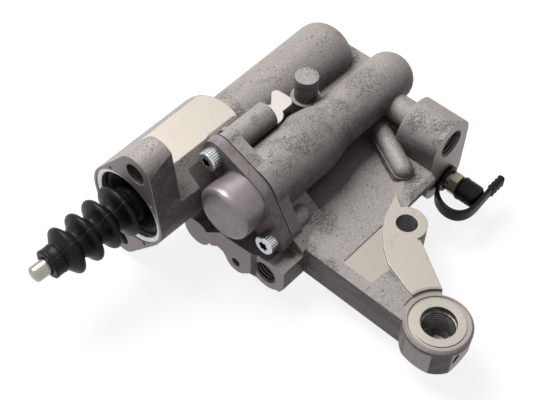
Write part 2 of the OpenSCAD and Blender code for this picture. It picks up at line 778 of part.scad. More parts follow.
// Piston with its seal, guide band and the seat for the pushrod's ball
piston_mouth_r = rod_ball_r + 0.3;
rod_clip_x = rod_seat_x + 4.6;

module piston() {
    ball_gap = 0.03;
    cup_r = rod_ball_r + ball_gap;
    groove = 0.9;
    groove_r = piston_mouth_r + 0.6;
    color([0.62, 0.63, 0.65]) difference() {
        turned_x([0, 0], [[0, piston_end], [piston_r - 1.5, piston_end], [piston_r - 0.4, piston_end + 2],
                          [piston_r - 0.4, seal_x - 0.01], [piston_r - seal_deep, seal_x],
                          [piston_r - seal_deep, seal_x + seal_w], [piston_r, seal_x + seal_w],
                          [piston_r, band_x - band_w], [piston_r - band_deep, band_x - band_w],
                          [piston_r - band_deep, band_x], [piston_r, band_x], [piston_r, piston_x - 1],
                          [piston_r - 1, piston_x], [0, piston_x]]);
        translate([rod_seat_x, 0, 0]) sphere(cup_r, $fn = 64);
        turned_x([0, 0], [[0, rod_seat_x], [cup_r, rod_seat_x], [piston_mouth_r, rod_seat_x + 2],
                          [piston_mouth_r, rod_clip_x - groove],
                          [groove_r, rod_clip_x - groove], [groove_r, rod_clip_x + groove],
                          [piston_mouth_r, rod_clip_x + groove], [piston_mouth_r + 1.5, piston_x + cut],
                          [0, piston_x + cut]]);
        // Pocket in the rear end, inside the spring
        turned_x([0, 0], [[0, piston_end - cut], [piston_pocket_r, piston_end - cut],
                          [piston_pocket_r - 1, piston_end + 5], [0, piston_end + 5]]);
    }
}

module piston_seal() {
    root = piston_r - seal_deep + seat;
    lip = bore_r - 0.02;
    color([0.08, 0.08, 0.09]) turned_x([0, 0],
        [[root, seal_x + 0.1], [lip - 1, seal_x + 0.1], [lip, seal_x + 0.5], [lip - 0.3, seal_x + 2],
         [lip - 0.1, seal_x + seal_w - 0.1], [root, seal_x + seal_w - 0.1], [root, seal_x + 2.4],
         [root + 0.8, seal_x + 1.6], [root + 0.8, seal_x + 1.2]]);
}

module guide_band() {
    inner = piston_r - band_deep + seat;
    color([0.75, 0.68, 0.5]) difference() {
        bar_x([0, 0], piston_r + 0.03, band_x - band_w + 0.1, band_x - 0.1);
        bar_x([0, 0], inner, band_x - band_w, band_x);
        translate([band_x - band_w - 1, -0.4, 0]) cube([band_w + 2, 0.8, piston_r + 1]);
    }
}

// Snap ring that stops the piston, open at the bottom
module stop_ring() {
    inner = bore_r - 2;
    color([0.35, 0.35, 0.37]) difference() {
        bar_x([0, 0], bore_r + groove_deep - 0.1, piston_x, stop_x - 0.05);
        bar_x([0, 0], inner, piston_x - 1, stop_x + 1);
        translate([piston_x - 1, -3.5, -bore_r - 4]) cube([stop_t + 2, 7, 7]);
    }
}

module return_spring() {
    color([0.5, 0.5, 0.52]) coil_x([0, 0], spring_r, spring_wire, bore_end + 0.1, piston_end - 0.1,
                                   spring_turns);
}

// Valve cap and what it closes

module valve_cap() {
    spigot_r = plunger_r + 1 - seat;
    color([0.6, 0.57, 0.55]) difference() {
        union() {
            prism_x(cap_back, cap_front) cap_outline();
            turned_x(valve_at, concat([[0, cap_back], [dome_r, cap_back], [dome_r, dome_x - dome_round]],
                                      arc([dome_r - dome_round, dome_x - dome_round], dome_round, 0, 90),
                                      [[0, dome_x]]));
            bar_x(valve_at, spigot_r, valve_back - 3, cap_back + 1);
        }
        bar_x(valve_at, plunger_r - cap_shell, valve_back - 3 - cut, dome_x - dome_wall);
        for (at = screw_at) bar_x(at, screw_d / 2 + 0.3, cap_back - 1, cap_front + 1);
    }
}

module cap_gasket() {
    color([0.2, 0.17, 0.13]) difference() {
        prism_x(valve_back, cap_back) cap_outline(-0.25);
        bar_x(valve_at, plunger_r + 1.3, valve_back - 1, cap_back + 1);
        for (at = screw_at) bar_x(at, screw_d / 2 + 0.3, valve_back - 1, cap_back + 1);
    }
}

module cap_screws() {
    color([0.8, 0.81, 0.82]) for (at = screw_at) difference() {
        union() {
            turned_x(at, [[0, cap_front], [screw_head_r, cap_front],
                          [screw_head_r, cap_front + screw_head_h - 0.5],
                          [screw_head_r - 0.5, cap_front + screw_head_h], [0, cap_front + screw_head_h]]);
            bar_x(at, screw_d / 2 - seat, cap_front - screw_len, cap_front);
        }
        // Six round lobes of the drive
        prism_x(cap_front + 2.4, cap_front + screw_head_h + cut) translate(at) {
            circle(screw_socket_r * 0.78);
            for (a = [0 : 60 : 300]) rotate(a) translate([screw_socket_r * 0.78, 0])
                circle(screw_socket_r * 0.24, $fn = 16);
        }
    }
}

module valve_plunger() {
    r = plunger_r - run;
    nose_r = plunger_r - cap_shell - 2 * loose;
    groove = 2 * oring_r + seat;
    color([0.7, 0.66, 0.5]) difference() {
        turned_x(valve_at, [[0, stem_tip_x], [plunger_stem_r - 1, stem_tip_x],
                            [plunger_stem_r - 1, valve_seat_x + 6],
                            [plunger_stem_r, valve_seat_x + 8], [plunger_stem_r, plunger_face_x],
                            [r, plunger_face_x], [r, plunger_x], [nose_r, plunger_x],
                            [nose_r - 1, plunger_x + 4],
                            [0, plunger_x + 4]]);
        for (x = plunger_seal_x) difference() {
            bar_x(valve_at, r + 1, x - oring_r - 0.2, x + oring_r + 0.2);
            bar_x(valve_at, r - groove, x - oring_r - 1, x + oring_r + 1);
        }
        turned_x(valve_at, [[0, plunger_x + 5], [3.2, plunger_x + 5], [3.2, plunger_x - 4],
                            [0, plunger_x - 5]]);
    }
}

stem_tip_x = poppet_x + seat;
plunger_seal_x = [plunger_x - 4.6, plunger_x - 10.8];

module plunger_seals() {
    color([0.08, 0.08, 0.09]) for (x = plunger_seal_x)
        translate([x, valve_y, valve_z]) rotate([0, 90, 0]) rotate_extrude()
            translate([plunger_r - run - oring_r + 0.02, 0]) circle(oring_r, $fn = 24);
}

module plunger_spring() {
    color([0.5, 0.5, 0.52])
        coil_x(valve_at, plunger_r - 2.2, 1.2, chamber_end + 0.1, plunger_face_x - 0.1, 5);
}

module valve_seat() {
    color([0.78, 0.66, 0.38]) difference() {
        bar_x(valve_at, stem_bore_r - seat, poppet_x, valve_seat_x);
        bar_x(valve_at, valve_seat_hole_r - 0.6, poppet_x - 1, valve_seat_x + 1);
        difference() {
            bar_x(valve_at, stem_bore_r + 1, poppet_x + 2, poppet_x + 4);
            bar_x(valve_at, stem_bore_r - 1.5, poppet_x, valve_seat_x);
        }
    }
}

module valve_seat_seal() {
    color([0.08, 0.08, 0.09]) translate([poppet_x + 3, valve_y, valve_z]) rotate([0, 90, 0]) rotate_extrude()
        translate([stem_bore_r - 0.75, 0]) circle(0.7, $fn = 20);
}

module valve_seat_ring() {
    color([0.35, 0.35, 0.37]) difference() {
        bar_x(valve_at, stem_bore_r + 0.7, valve_seat_x + seat, valve_seat_x + valve_ring_t - seat);
        bar_x(valve_at, stem_bore_r - 1.2, valve_seat_x - 1, valve_seat_x + 3);
        translate([valve_seat_x - 1, valve_y - 2, valve_z - stem_bore_r - 2]) cube([4, 4, 5]);
    }
}

module valve_poppet() {
    color([0.7, 0.66, 0.5]) difference() {
        turned_x(valve_at, [[0, poppet_x - poppet_len], [3, poppet_x - poppet_len], [3, poppet_x - 4.5],
                            [poppet_r, poppet_x - 4.5],
                            [poppet_r, poppet_x], [0, poppet_x]]);
        turned_x(valve_at, [[3.4, poppet_x + 1], [3.4, poppet_x - poppet_rubber],
                            [poppet_r - 0.6, poppet_x - poppet_rubber],
                            [poppet_r - 0.6, poppet_x + 1]]);
    }
}

module poppet_disc() {
    color([0.08, 0.08, 0.09]) turned_x(valve_at,
                                       [[3.45, poppet_x - 0.02], [3.45, poppet_x - poppet_rubber + 0.02],
                                                   [poppet_r - 0.65, poppet_x - poppet_rubber + 0.02],
                                                   [poppet_r - 0.65, poppet_x - 0.02]]);
}

module poppet_spring() {
    color([0.5, 0.5, 0.52]) coil_x(valve_at, 4.4, 0.9, stem_end + 0.1, poppet_x - 4.6, 4);
}

// Bleeder, its rubber cap and the pressed balls

module bleeder_screw() {
    color([0.75, 0.66, 0.4]) difference() {
        union() {
            turned_y(bleeder_at, [[0, fluid_y - bleeder_deep - 2.6], [0.6, fluid_y - bleeder_deep - 2.6],
                                  [bleeder_thread_r, fluid_y - bleeder_deep + 1.2],
                                  [bleeder_thread_r, fluid_y - 1],
                                  [bleeder_neck_r, fluid_y], [bleeder_neck_r, hex_y], [nipple_r, hex_y + 1],
                                  [nipple_r, hex_end + 1], [nipple_r - 0.6, hex_end + 2.4],
                                  [nipple_r - 0.6, hex_end + 5],
                                  [nipple_r, hex_end + 6.6], [nipple_r - 0.8, hex_end + nipple_len - 1],
                                  [0, hex_end + nipple_len - 1]]);
            translate([bleeder_at.x, hex_end, bleeder_at.y]) rotate([90, 0, 0])
                cylinder(r = hex_r, h = hex_len, $fn = 6);
        }
        bar_y(bleeder_at, 0.9, fluid_y - 4, hex_end + nipple_len + 1);
    }
}

module bleeder_cap() {
    inner = nipple_r + loose;
    tail_end = bleeder_at.x - rubber_cap_r - cap_tail_len;
    color([0.07, 0.07, 0.075]) {
        difference() {
            turned_y(bleeder_at, [[0, rubber_cap_y], [rubber_cap_r, rubber_cap_y],
                                  [rubber_cap_r + 0.4, rubber_cap_y + 1.5],
                                  [rubber_cap_r - 0.4, rubber_cap_end - 1],
                                  [rubber_cap_r - 1.4, rubber_cap_end],
                                  [0, rubber_cap_end]]);
            bar_y(bleeder_at, inner, rubber_cap_y - 1, rubber_cap_y + nipple_len - 1.2);
            turned_y(bleeder_at, [[0, rubber_cap_y - 1], [inner + 1.2, rubber_cap_y - 1],
                                  [inner, rubber_cap_y + 1.2],
                                  [0, rubber_cap_y + 1.2]]);
        }
        // The tail is a flat strip with a ribbed grip at its end
        translate([tail_end + 2, rubber_cap_end, bleeder_at.y - strap_w / 2])
            cube([bleeder_at.x - tail_end + rubber_cap_r - 3, strap_t, strap_w]);
        for (i = [0 : 3]) bar_z([tail_end + 2 + 2.9 * i, rubber_cap_end + strap_t / 2], 1.9,
                                bleeder_at.y - strap_w / 2 + 0.4, bleeder_at.y + strap_w / 2 - 0.4);
    }
}

// The strap leaves a ring round the bleeder's neck and loops back to the cap
module cap_strap() {
    low = bleeder_at.y - strap_w / 2;
    high = low + strap_w;
    side = bleeder_at.x + rubber_cap_r + 1;
    loop_x = side - 1.4;
    ring_mid = strap_ring_y + strap_ring_t / 2;
    top_mid = strap_top_y + strap_t / 2;
    reach = (top_mid - ring_mid) / 2;
    color([0.07, 0.07, 0.075]) {
        difference() {
            bar_y(bleeder_at, bleeder_neck_r + 3.2, strap_ring_y, strap_ring_y + strap_ring_t);
            bar_y(bleeder_at, bleeder_neck_r + loose, strap_ring_y - 1, strap_ring_y + strap_ring_t + 1);
        }
        difference() {
            bar_z([loop_x, ring_mid + reach], reach + strap_t / 2, low, high);
            bar_z([loop_x, ring_mid + reach], reach - strap_t / 2, low - 1, high + 1);
            translate([loop_x - 24, strap_ring_y - 1, low - 1])
                cube([24, 2 * reach + 2 * strap_t, strap_w + 2]);
        }
        translate([bleeder_at.x + 5, strap_ring_y, low])
            cube([loop_x - bleeder_at.x - 5, strap_ring_t, strap_w]);
        translate([side - 1.7, strap_top_y, low]) cube([loop_x - side + 1.7, strap_t, strap_w]);
    }
}

module ball_plugs() {
    color([0.75, 0.74, 0.72]) {
        translate([block_x - ball_seat - ball_r, block_plug.x, block_plug.y]) sphere(ball_r - 0.02);
        translate([air_drill_x, air_flat_y - ball_seat - ball_r, air_drill_z]) sphere(ball_r - 0.02);
    }
}

body_casting();
boot_ring();
boot();
pushrod();
rod_clip();
piston();
piston_seal();
guide_band();
stop_ring();
return_spring();
valve_cap();
cap_gasket();
cap_screws();
valve_plunger();
plunger_seals();
plunger_spring();
valve_seat();
valve_seat_seal();
valve_seat_ring();
valve_poppet();
poppet_disc();
poppet_spring();
bleeder_screw();
bleeder_cap();
cap_strap();
ball_plugs();
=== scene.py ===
import math
from collections import namedtuple
from functools import reduce

import bmesh
import bpy
from mathutils import Matrix, Vector


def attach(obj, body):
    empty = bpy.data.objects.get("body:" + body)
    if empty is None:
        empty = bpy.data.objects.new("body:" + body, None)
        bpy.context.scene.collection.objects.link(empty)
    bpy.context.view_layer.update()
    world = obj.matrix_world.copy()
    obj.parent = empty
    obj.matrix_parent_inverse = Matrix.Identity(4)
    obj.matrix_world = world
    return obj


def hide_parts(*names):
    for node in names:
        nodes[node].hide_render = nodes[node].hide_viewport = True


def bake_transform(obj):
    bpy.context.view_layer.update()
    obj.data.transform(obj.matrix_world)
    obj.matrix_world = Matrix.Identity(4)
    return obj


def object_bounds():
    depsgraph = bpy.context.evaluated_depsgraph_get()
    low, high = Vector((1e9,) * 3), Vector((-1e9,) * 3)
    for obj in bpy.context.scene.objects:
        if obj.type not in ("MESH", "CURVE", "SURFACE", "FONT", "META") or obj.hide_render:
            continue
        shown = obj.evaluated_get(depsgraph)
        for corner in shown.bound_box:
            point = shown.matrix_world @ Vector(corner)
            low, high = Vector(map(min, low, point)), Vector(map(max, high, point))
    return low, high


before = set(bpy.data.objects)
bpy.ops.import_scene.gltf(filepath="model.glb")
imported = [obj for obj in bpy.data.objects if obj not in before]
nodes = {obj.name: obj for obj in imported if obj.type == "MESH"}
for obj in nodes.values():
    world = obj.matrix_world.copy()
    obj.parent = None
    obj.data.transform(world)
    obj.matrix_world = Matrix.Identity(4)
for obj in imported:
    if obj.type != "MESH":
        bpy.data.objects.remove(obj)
scene = bpy.context.scene
mm = 0.001
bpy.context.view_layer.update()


# Camera, solved from the straight edges and circles in the photo

photo_width = 533
focal_pixels = 1095.86
sensor_width = 36
eye = Vector((186.57, 240.53, 381.53)) * mm
right = Vector((-0.671627, 0.740536, 0.022892))
down = Vector((0.569290, 0.535597, -0.623734))
ahead = right.cross(down)

cam_data = bpy.data.cameras.new("camera")
cam = bpy.data.objects.new("camera", cam_data)
scene.collection.objects.link(cam)
cam.matrix_world = Matrix.Translation(eye) @ Matrix((right, -down, -ahead)).transposed().to_4x4()
cam_data.sensor_fit = "HORIZONTAL"
cam_data.sensor_width = sensor_width
cam_data.lens = sensor_width * focal_pixels / photo_width
cam_data.clip_start = 0.01
cam_data.clip_end = 20
scene.camera = cam


# Places on the object, in millimetres. An axis is the plane that it crosses and where it crosses it.

def pair(centre, pitch, angle):
    """Two places half a pitch to each side of a centre, along an angle in degrees."""
    half = Vector((math.cos(math.radians(angle)), math.sin(math.radians(angle)))) * pitch / 2
    return [Vector(centre) - half, Vector(centre) + half]


bolt_pitch, bolt_angle = 59.4, 74.5
screw_pitch, screw_angle = 45, -40.5
main_bore = ("yz", (0, 0))
valve = ("yz", (36.8, 5.2))
flange_bolts = [("yz", place) for place in pair(main_bore[1], bolt_pitch, bolt_angle)]
upper_screw, lower_screw = pair(valve[1], screw_pitch, screw_angle)

# The milled faces that look up, forward and sideways, and the side edge of the milled spot on the web
pad_z, lug_z, facet_z, air_z, groove_z = 18.2, -10.0, -11.2, -11.4, -11.9
flange_x, joint_x, block_x, port_x, air_flat_x = 0.0, -42.0, -28.4, -29.4, -39.1
fluid_y, air_flat_y = 83.3, 147.5
spot_y = 9.5

bleeder = (-129.0, fluid_y, -23.6)

# A hole's mask starts just inside its face. Past far there is no object.
inset = 0.1
far = 1000

# Threaded holes: the mask's reach from the axis, its bottom and face, the chamfer's depth and the pitch
Port = namedtuple("Port", "axis radius bottom face chamfer pitch")
ports = {
    "air": Port(("xy", (-52.7, 134.2)), 8.7, -far, air_z, 2.1, 1.5),
    "lug": Port(("xy", (-84.6, 92.3)), 5.2, -far, lug_z, 0.5, 1.25),
    "fluid": Port(("xz", (-127.7, 1.5)), 7.7, 67.0, fluid_y, 1.3, 1.5),
    "block": Port(("yz", (56.4, -26.4)), 6.2, -50.0, port_x, 0.8, 1.5),
}

# Plain holes: each mask's reach from the axis, and the bottoms of those on the main bore's axis
bolt_hole_r = 5.4
main_holes = {"bore": (13.2, -140.0), "ring seat": (20.1, -4.2), "recess": (17.9, -22.3)}

# Where soot and dents gather on the casting: a place and its reach
sooty_places = [((-54, 38, 24), 17), ((-70, 44, 22), 13), ((-118, 37, 24), 16), ((-24, 4, 26), 15),
                ((-18, 16, 4), 12), ((-100, 44, 18), 15), ((-122, 68, 8), 9), ((-60, 62, -10), 12),
                ((-142, 2, 20), 12), ((-63, 105, -12), 9)]


# Node trees

class Tree:
    """A node tree, written as nested calls."""

    def __init__(self, tree):
        self.tree = tree

    def new(self, kind):
        return self.tree.nodes.new("ShaderNode" + kind)

    def put(self, socket, value):
        """Links a socket to another, or sets it to a number or a colour."""
        if isinstance(value, bpy.types.NodeSocket):
            self.tree.links.new(value, socket)
        elif socket.type == "RGBA":
            socket.default_value = (*value, 1)
        else:
            socket.default_value = value

    def calc(self, operation, *values):
        node = self.new("Math")
        node.operation = operation
        for socket, value in zip(node.inputs, values):
            self.put(socket, value)
        return node.outputs[0]

    def chain(self, operation, values):
        return reduce(lambda a, b: self.calc(operation, a, b), values)

    def times(self, *values):
        return self.chain("MULTIPLY", values)

    def plus(self, *values):
        return self.chain("ADD", values)

    def any(self, *masks):
        return self.chain("MAXIMUM", masks)

    def minus(self, a, b):
        return self.calc("SUBTRACT", a, b)

    def invert(self, mask):
        return self.minus(1.0, mask)

    def over(self, value, edge):
        return self.calc("GREATER_THAN", value, edge)

    def under(self, value, edge):
        return self.calc("LESS_THAN", value, edge)

    def mix_shaders(self, share, a, b):
        node = self.new("MixShader")
        for socket, value in zip(node.inputs, (share, a, b)):
            self.put(socket, value)
        return node.outputs[0]

    def seen_plainly(self):
        """1 for rays from the camera, off glossy surfaces and through clear ones."""
        rays = self.new("LightPath").outputs
        return self.any(rays["Is Camera Ray"], rays["Is Glossy Ray"], rays["Is Transmission Ray"])


class Surface(Tree):
    """A material's node tree. Sockets carry metres, and holes, places and faces are given in millimetres."""

    def __init__(self, name):
        self.material = bpy.data.materials.new(name)
        self.material.use_nodes = True
        super().__init__(self.material.node_tree)
        self.shader = self.tree.nodes["Principled BSDF"]
        self.coords = self.new("TexCoord").outputs["Object"]
        self.x, self.y, self.z = self.split(self.coords)
        self.true_normal = self.new("NewGeometry").outputs["True Normal"]
        self.nx, self.ny, self.nz = self.split(self.true_normal)

    def finish(self, **values):
        """Sets the shader's inputs by their names, with _ for each space, and gives the material."""
        for name, value in values.items():
            self.put(self.shader.inputs[name.replace("_", " ")], value)
        return self.material

    def split(self, vector):
        node = self.new("SeparateXYZ")
        self.put(node.inputs[0], vector)
        return node.outputs[0], node.outputs[1], node.outputs[2]

    def coordinate(self, letter):
        return {"x": self.x, "y": self.y, "z": self.z}[letter]

    def along(self, axis):
        """The coordinate along an axis."""
        return next(self.coordinate(letter) for letter in "xyz" if letter not in axis[0])

    def offsets(self, axis):
        """How far out from an axis, along both directions of its plane."""
        plane, centre = axis
        return [self.minus(self.coordinate(letter), place * mm) for letter, place in zip(plane, centre)]

    def length(self, a, b):
        return self.calc("SQRT", self.plus(self.times(a, a), self.times(b, b)))

    def turns(self, a, b):
        """The share of a whole turn at which an offset lies, from -0.5 to 0.5."""
        return self.calc("DIVIDE", self.calc("ARCTAN2", b, a), 2 * math.pi)

    def radius(self, axis):
        return self.length(*self.offsets(axis))

    def at(self, value, *places):
        """1 where a coordinate is one of the places."""
        return self.any(*[self.calc("COMPARE", value, place * mm, 0.06 * mm) for place in places])

    def hole(self, axis, radius, lo=-far, hi=far):
        """1 within a radius of an axis and from lo to hi along it."""
        along = self.along(axis)
        inside = self.under(self.radius(axis), radius * mm)
        return self.times(inside, self.over(along, lo * mm), self.under(along, hi * mm))

    def near(self, place, reach):
        """1 round a place, fading to 0 at its reach."""
        node = self.new("VectorMath")
        node.operation = "DISTANCE"
        self.put(node.inputs[0], self.coords)
        node.inputs[1].default_value = Vector(place) * mm
        return self.ramp(node.outputs["Value"], reach * mm / 2, reach * mm, 1.0, 0.0)

    def wave(self, value):
        """A triangle wave from 0 to 1 and back over each whole number."""
        return self.times(self.calc("PINGPONG", value, 0.5), 2.0)

    def thread(self, axis, pitch):
        rise = self.calc("DIVIDE", self.along(axis), pitch * mm)
        return self.wave(self.plus(rise, self.turns(*self.offsets(axis))))

    def stretch(self, scale, rotation=(0, 0, 0)):
        node = self.new("Mapping")
        self.put(node.inputs["Vector"], self.coords)
        node.inputs["Scale"].default_value = scale
        node.inputs["Rotation"].default_value = rotation
        return node.outputs[0]

    def noise(self, scale, detail=3.0, rough=0.55, distortion=0.0, vector=None):
        node = self.new("TexNoise")
        self.put(node.inputs["Vector"], vector or self.coords)
        node.inputs["Scale"].default_value = scale
        node.inputs["Detail"].default_value = detail
        node.inputs["Roughness"].default_value = rough
        node.inputs["Distortion"].default_value = distortion
        return node.outputs["Fac"]

    def cells(self, scale):
        """Distance from the middle of scattered cells."""
        node = self.new("TexVoronoi")
        self.put(node.inputs["Vector"], self.coords)
        node.inputs["Scale"].default_value = scale
        return node.outputs["Distance"]

    def ramp(self, value, lo, hi, start=0.0, stop=1.0):
        """Goes smoothly from start to stop while the value goes from lo to hi."""
        node = self.new("MapRange")
        node.interpolation_type = "SMOOTHSTEP"
        self.put(node.inputs["Value"], value)
        for name, number in (("From Min", lo), ("From Max", hi), ("To Min", start), ("To Max", stop)):
            node.inputs[name].default_value = number
        return node.outputs[0]

    def mix(self, share, a, b, kind="RGBA"):
        node = self.new("Mix")
        node.data_type = kind
        sockets = [s for s in node.inputs if s.enabled]
        for socket, value in zip(sockets, (share, a, b)):
            self.put(socket, value)
        return next(s for s in node.outputs if s.enabled)

    def blend(self, share, a, b):
        """A mix of two numbers."""
        return self.mix(share, a, b, "FLOAT")

    def paint(self, base, *coats):
        """Lays coats over a colour, each with its share and its colour."""
        return reduce(lambda under, coat: self.mix(coat[0], under, coat[1]), coats, base)

    def bevel(self, radius):
        node = self.new("Bevel")
        node.samples = 4
        node.inputs["Radius"].default_value = radius
        return node.outputs[0]

    def bump(self, height, distance, normal=None):
        node = self.new("Bump")
        node.inputs["Strength"].default_value = 1.0
        node.inputs["Distance"].default_value = distance
        self.put(node.inputs["Height"], height)
        if normal:
            self.put(node.inputs["Normal"], normal)
        return node.outputs[0]

    def edges(self, bevelled):
        """1 along sharp edges, where the bevelled normal leaves the true one."""
        node = self.new("VectorMath")
        node.operation = "DOT_PRODUCT"
        self.put(node.inputs[0], bevelled)
        self.put(node.inputs[1], self.true_normal)
        return self.ramp(self.invert(node.outputs["Value"]), 0.02, 0.2)

    def hollows(self, distance):
        """1 deep in corners, 0 in the open."""
        node = self.new("AmbientOcclusion")
        node.samples = 6
        node.inputs["Distance"].default_value = distance
        return self.invert(node.outputs["AO"])


def tone(colour, share):
    return tuple(min(1.0, c * share) for c in colour)


# Casting

cast = (0.40, 0.375, 0.36)
# painted shade for the steep flanks of the casting
painted_flank_shade = (0.092, 0.076, 0.084)
# painted shade for the hollows of the casting
painted_hollow_shade = (0.07, 0.06, 0.058)
# bright edges of the casting, partly wear and partly painted highlight
worn_and_lit_edge_tone = (0.62, 0.6, 0.58)
# one milled finish, painted lit on the faces that look up and shaded on those that look forward and sideways
milled_lit_top = (0.48, 0.445, 0.395)
milled_shaded_front = (0.24, 0.21, 0.215)
milled_shaded_side = (0.29, 0.26, 0.265)


def milled_faces(t):
    """Where the casting is milled, by the way that a face looks and how far out it lies."""
    up, front, side = [t.over(normal, 0.99) for normal in (t.nz, t.nx, t.ny)]
    return {
        "top": t.times(up, t.at(t.z, pad_z, lug_z, facet_z, air_z, groove_z)),
        "facet": t.times(up, t.at(t.z, facet_z)),
        "spot": t.times(up, t.at(t.z, pad_z), t.over(t.y, spot_y * mm)),
        "front": t.times(front, t.at(t.x, flange_x, joint_x, block_x, port_x, air_flat_x)),
        "side": t.times(side, t.at(t.y, fluid_y, air_flat_y)),
    }


def port_hole(t, port, depth):
    """A threaded hole, from a depth under its face."""
    return t.hole(port.axis, port.radius, port.bottom, port.face - depth)


def bored_holes(t):
    """Where the casting is bored."""
    holes = {name: port_hole(t, port, inset) for name, port in ports.items()}
    holes["bolts"] = t.any(*[t.hole(bolt, bolt_hole_r, hi=flange_x - inset) for bolt in flange_bolts])
    for name, (radius, bottom) in main_holes.items():
        holes[name] = t.hole(main_bore, radius, bottom, flange_x - inset)
    return holes


def cast_skin(t, grain, worn_and_lit_edges):
    """Colour and height of the cast skin, with blotches, patches of pores, painted shade in the hollows and
    on the steep flanks, and bright edges that are partly wear and partly painted highlight.
    """
    speck = t.noise(3400, 2, 0.5)
    sooty = t.any(*[t.near(place, reach) for place, reach in sooty_places])
    patches = t.any(t.ramp(t.noise(42, 3, 0.55, 0.6), 0.56, 0.68),
                    t.times(sooty, t.ramp(t.noise(110, 4, 0.6), 0.4, 0.56)))
    dents = t.times(t.ramp(t.noise(1150, 3, 0.7), 0.49, 0.54), patches)
    pores = t.times(t.ramp(t.cells(520), 0.16, 0.3, 1.0, 0.0), t.ramp(t.noise(150, 3, 0.6), 0.5, 0.62))
    steep = t.ramp(t.nz, 0.1, 0.72, 1.0, 0.0)
    low = t.ramp(t.z, -13 * mm, -10.5 * mm, 1.0, 0.94)
    streaks = t.ramp(t.noise(260, 4, 0.65, vector=t.stretch((1, 0.16, 1))), 0.42, 0.6, 0.68, 1.0)
    blotched = t.mix(t.ramp(t.noise(70, 5, 0.6, 0.4), 0.35, 0.7), tone(cast, 1.12), tone(cast, 0.84))
    grained = t.mix(t.ramp(grain, 0.42, 0.62, 0.0, 0.6), tone(cast, 0.62), blotched)
    colour = t.paint(grained,
                     (t.ramp(speck, 0.5, 0.68, 0.0, 0.5), tone(cast, 1.5)),
                     # painted shade on the steep flanks, a little stronger low down and broken up in streaks
                     (t.times(steep, low, streaks), painted_flank_shade),
                     (t.times(dents, 0.72), tone(cast, 0.2)),
                     (t.times(pores, 0.75), tone(cast, 0.16)),
                     # painted shade in the hollows
                     (t.times(t.ramp(t.hollows(8 * mm), 0.3, 0.8), 0.6), painted_hollow_shade),
                     # bright edges, partly wear and partly painted highlight
                     (t.times(worn_and_lit_edges, t.ramp(t.noise(300), 0.35, 0.6, 0.15, 0.8)), worn_and_lit_edge_tone))
    height = t.plus(t.times(t.noise(480), 0.8), t.times(grain, 0.6), t.times(speck, 0.25),
                    t.times(dents, -0.5), t.times(pores, -1.0))
    return colour, height


def cut_skin(t, faces, worn_and_lit_edges):
    """Colour and tool marks of the milled faces: painted lit beige on top, painted shaded grey on the faces
    that look forward and sideways, turned at the air port, with bright edges that are partly wear and partly
    painted highlight.
    """
    from_port = t.radius(ports["air"].axis)
    lines = t.noise(2600, 2, 0.5, vector=t.stretch((0.05, 1, 1), (0, 0, 0.7)))
    rings = t.wave(t.times(from_port, 2.5 / mm))
    marks = t.blend(t.under(from_port, 15.3 * mm), lines, rings)
    groove = t.times(faces["top"], t.under(from_port, 17.5 * mm), t.over(from_port, 12.8 * mm))
    far_facet = t.times(faces["facet"], t.invert(t.under(from_port, 20 * mm)))
    # painted light: lit beige on the top faces, shaded grey on the forward faces
    colour = t.paint(t.mix(faces["top"], milled_shaded_front, milled_lit_top),
                     (far_facet, (0.4, 0.372, 0.33)),
                     (groove, (0.33, 0.3, 0.27)),
                     (faces["spot"], (0.6, 0.57, 0.55)),
                     # painted shade on the faces that look sideways
                     (faces["side"], milled_shaded_side),
                     (t.ramp(marks, 0.3, 0.7, 0.0, 0.14), (0.34, 0.31, 0.28)),
                     (t.ramp(t.noise(240, 4, 0.6), 0.56, 0.72, 0.0, 0.3), (0.3, 0.28, 0.26)),
                     # bright edges, partly wear and partly painted highlight
                     (t.times(worn_and_lit_edges, 0.6), (0.6, 0.58, 0.56)))
    return colour, marks


def hole_walls(t, holes):
    """Walls painted darker as shade, and darkest where the hole is deep and narrow or lies behind the boot.
    """
    # painted shade on the hole walls, darkest in the deep holes
    deep = t.any(*[holes[name] for name in ("ring seat", "recess", "lug", "block", "fluid")])
    wall = t.mix(t.ramp(t.noise(500), 0.4, 0.7), (0.2, 0.19, 0.185), (0.1, 0.092, 0.09))
    return t.paint(wall, (deep, (0.06, 0.056, 0.056)), (holes["bolts"], (0.16, 0.145, 0.14)))


def body_metal():
    """Blasted die-cast aluminium, with its faces, bores and threads machined."""
    t = Surface("cast_body")
    faces, holes = milled_faces(t), bored_holes(t)
    bored = t.any(*holes.values())
    milled = t.times(t.any(faces["top"], faces["front"], faces["side"]), t.invert(bored))
    machined = t.any(milled, bored)
    bevelled = t.bevel(0.7 * mm)
    # edges painted bright, partly as wear and partly as a painted highlight
    worn_and_lit_edges = t.edges(bevelled)
    grain = t.noise(1700, 3, 0.65)
    skin, height = cast_skin(t, grain, worn_and_lit_edges)
    cut, marks = cut_skin(t, faces, worn_and_lit_edges)
    threads = t.any(*[t.times(port_hole(t, port, port.chamfer), t.thread(port.axis, port.pitch))
                      for port in ports.values()])
    normal = t.bump(t.times(height, t.invert(machined)), 0.24 * mm, bevelled)
    normal = t.bump(t.times(marks, milled), 0.02 * mm, normal)
    normal = t.bump(threads, 0.8 * mm, normal)
    metallic = t.blend(machined, 0.1, t.blend(bored, t.blend(faces["top"], 0.75, 0.3), 0.7))
    rough = t.blend(machined, t.ramp(grain, 0.3, 0.7, 0.56, 0.42), t.blend(bored, 0.45, 0.38))
    return t.finish(Base_Color=t.mix(bored, t.mix(milled, skin, cut), hole_walls(t, holes)),
                    Metallic=metallic, Roughness=rough, Specular_IOR_Level=0.38, Normal=normal)


# Other materials

